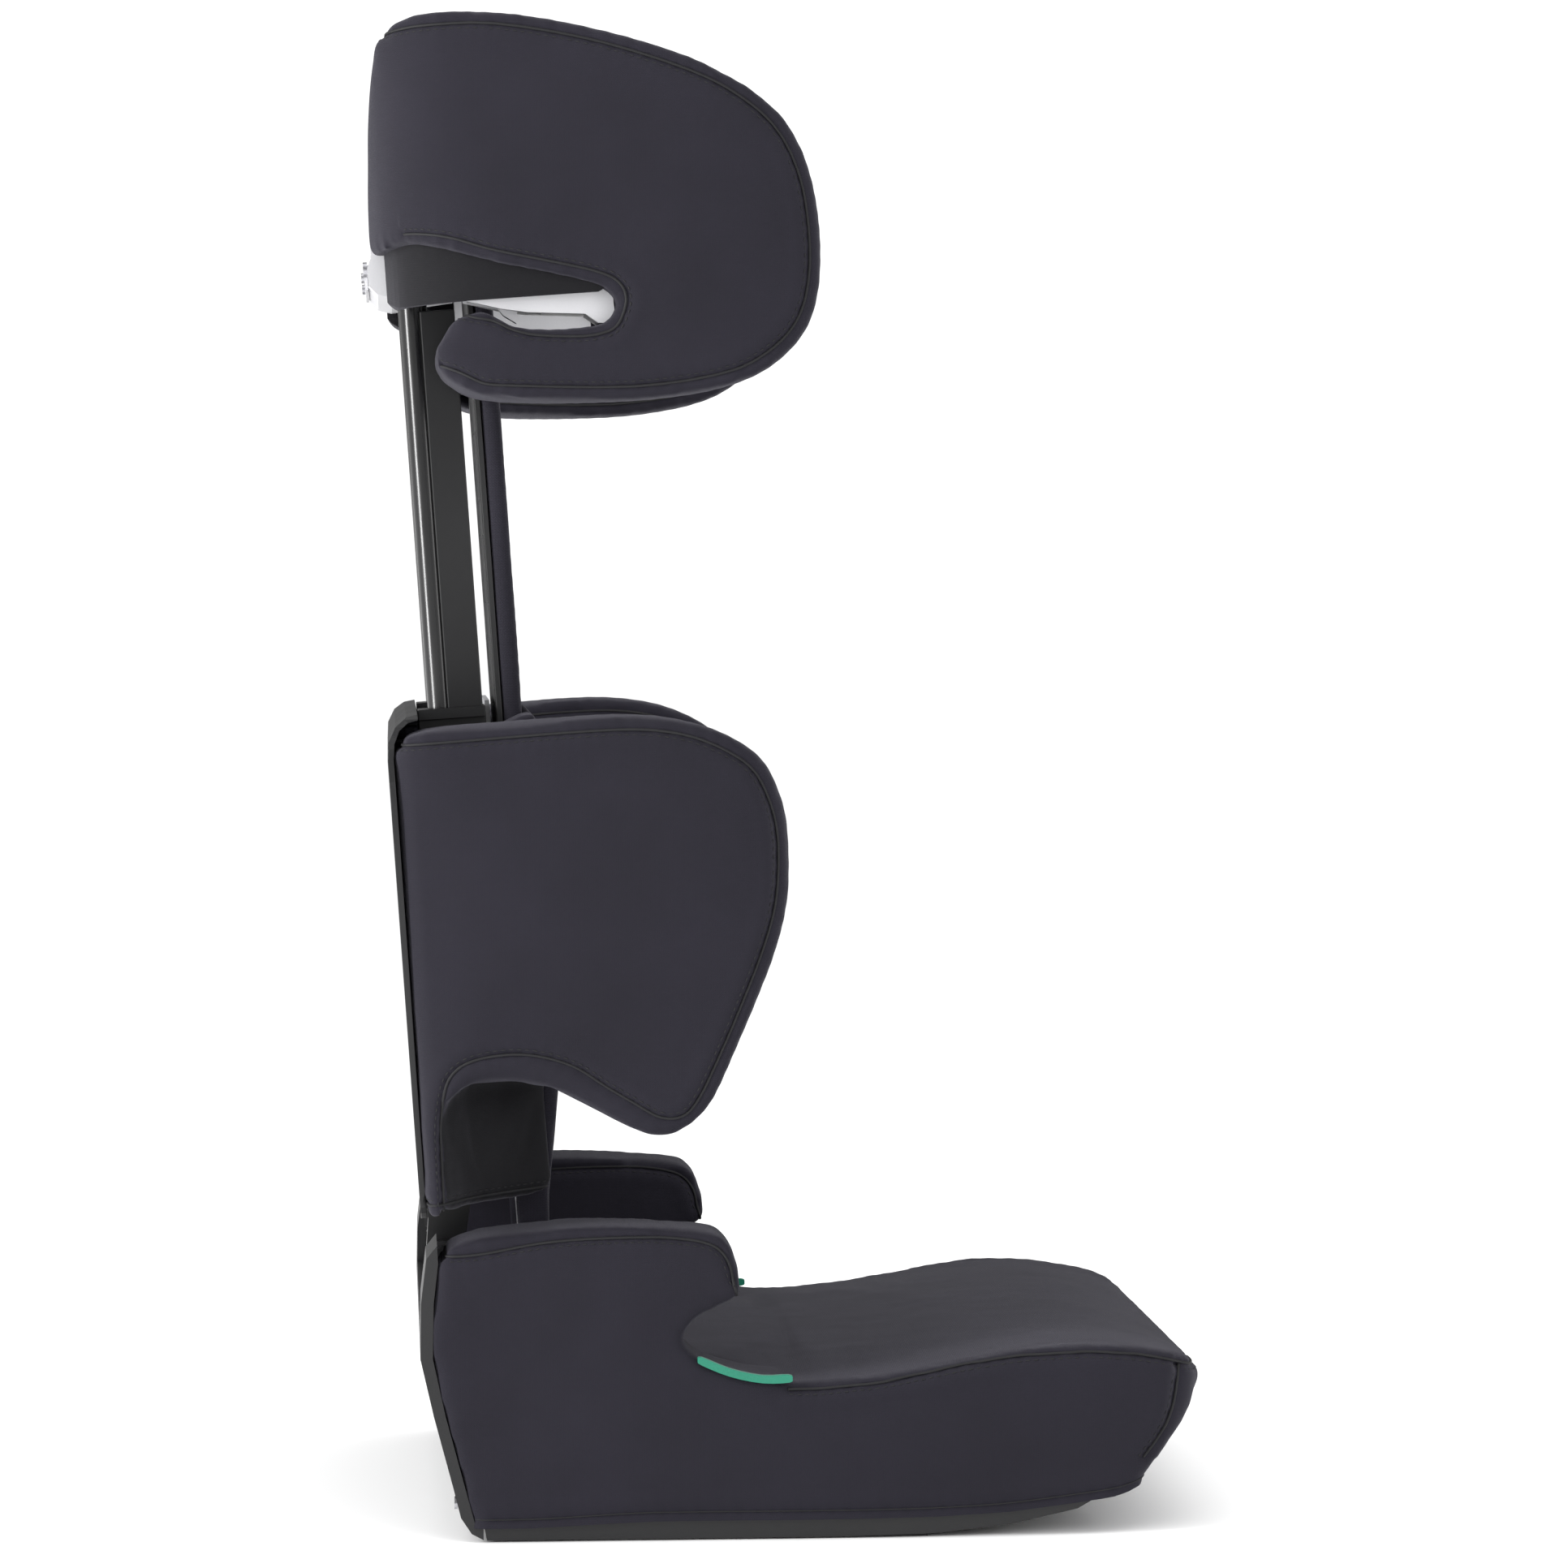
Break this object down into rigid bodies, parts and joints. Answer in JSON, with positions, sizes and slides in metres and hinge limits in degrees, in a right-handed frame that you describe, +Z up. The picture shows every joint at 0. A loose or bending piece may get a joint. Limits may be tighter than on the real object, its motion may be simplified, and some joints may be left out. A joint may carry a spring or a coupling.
{
  "type": "high-back booster seat",
  "caption": "High-back booster seat: padded base with armrests, hinged winged backrest, and a winged headrest that slides on rails, with belt guides.",
  "frame": {"origin": "centre of the whole seat's footprint box, on the surface it stands on", "axes": "+Z up, -Y towards the seat's front edge, +X to the sitter's left, across the width"},
  "size_m": [0.47, 0.4654, 0.8514],
  "materials": {
    "black_shell": "fine spark-textured black moulding",
    "black_fittings": "satin black moulding",
    "light_grey_plastic": "satin light grey moulding",
    "charcoal_knit": "close-knit stretch cover with a soft sheen",
    "padded_knit": "close-knit cover over thin foam",
    "foam": "open-cell foam",
    "black_steel": "satin black powder coat",
    "zinc_steel": "bright zinc plate",
    "green_plastic": "glossy green moulding",
    "grip_rubber": "matt soft rubber"
  },
  "bodies": {
    "base": {"base_shell": "black_shell", "rear_trim": "black_shell", "trim_screws": "zinc_steel", "armrest_core_left": "black_shell", "armrest_core_right": "black_shell", "armrest_bolts": "zinc_steel", "seat_foam": "foam", "seat_cover": "charcoal_knit", "lap_belt_guide_left": "green_plastic", "lap_belt_guide_right": "green_plastic", "hinge_rod": "zinc_steel", "hinge_rod_caps": "black_fittings", "grip_pads": "grip_rubber", "cover_hooks": "black_shell"},
    "backrest": {"back_shell": "black_shell", "back_front_plate": "light_grey_plastic", "rail_guide_left": "black_fittings", "rail_guide_right": "black_fittings", "height_rack": "black_shell", "back_screws": "zinc_steel", "wing_foam_left": "foam", "wing_foam_right": "foam", "wing_cover_left": "charcoal_knit", "wing_cover_right": "charcoal_knit", "back_pad": "padded_knit", "hinge_hook_left": "black_fittings", "hinge_hook_right": "black_fittings", "hook_screws": "zinc_steel"},
    "headrest": {"headrest_shell": "light_grey_plastic", "bracket_cover": "light_grey_plastic", "headrest_foam": "foam", "headrest_cover": "charcoal_knit", "head_pad": "padded_knit", "rail_left": "black_steel", "rail_right": "black_steel", "rail_channel_left": "black_fittings", "rail_channel_right": "black_fittings", "rail_carriage": "black_shell", "support_board": "black_shell", "bib_pad": "padded_knit", "board_screws": "zinc_steel", "lobe_screws": "zinc_steel", "rail_bolts": "zinc_steel", "cover_screws": "zinc_steel", "shoulder_belt_guide_left": "light_grey_plastic", "shoulder_belt_guide_right": "light_grey_plastic", "guide_screws": "zinc_steel", "gate_pins": "zinc_steel", "gate_springs": "zinc_steel", "return_springs": "zinc_steel"},
    "release": {"release_handle": "black_fittings", "release_wire": "zinc_steel"},
    "latch": {"latch_pawl": "zinc_steel"},
    "gate_left": {"belt_gate_left": "light_grey_plastic"},
    "gate_right": {"belt_gate_right": "light_grey_plastic"}
  },
  "joints": [
    {"name": "back_recline", "type": "hinge", "parent": "base", "child": "backrest", "pos_m": [0, 0.18631, 0.148], "axis": [-1, 0, 0], "range_deg": [-6, 14]},
    {"name": "headrest_height", "type": "slide", "parent": "backrest", "child": "headrest", "axis": [0, 0.0698, 0.9976], "range_m": [-0.168, 0]},
    {"name": "release_pull", "type": "slide", "parent": "headrest", "child": "release", "axis": [0, 0.0698, 0.9976], "range_m": [0, 0.008], "stiffness_N_per_m": 700, "springref_m": -0.012, "deforming": ["return_springs"]},
    {"name": "latch_slide", "type": "slide", "parent": "headrest", "child": "latch", "axis": [0, 0.9976, -0.0698], "range_m": [-0.0042, 0]},
    {"name": "gate_left_swing", "type": "hinge", "parent": "headrest", "child": "gate_left", "pos_m": [0.183, 0.16689, 0.7017], "axis": [-1, 0, 0], "range_deg": [0, 35], "stiffness_Nm_per_rad": 0.03, "springref_deg": -17.19},
    {"name": "gate_right_swing", "type": "hinge", "parent": "headrest", "child": "gate_right", "pos_m": [-0.183, 0.16689, 0.7017], "axis": [-1, 0, 0], "range_deg": [0, 35], "stiffness_Nm_per_rad": 0.03, "springref_deg": -17.19}
  ],
  "couplings": [
    {"joint": "latch_slide", "follows": "release_pull", "ratio": -0.5}
  ]
}
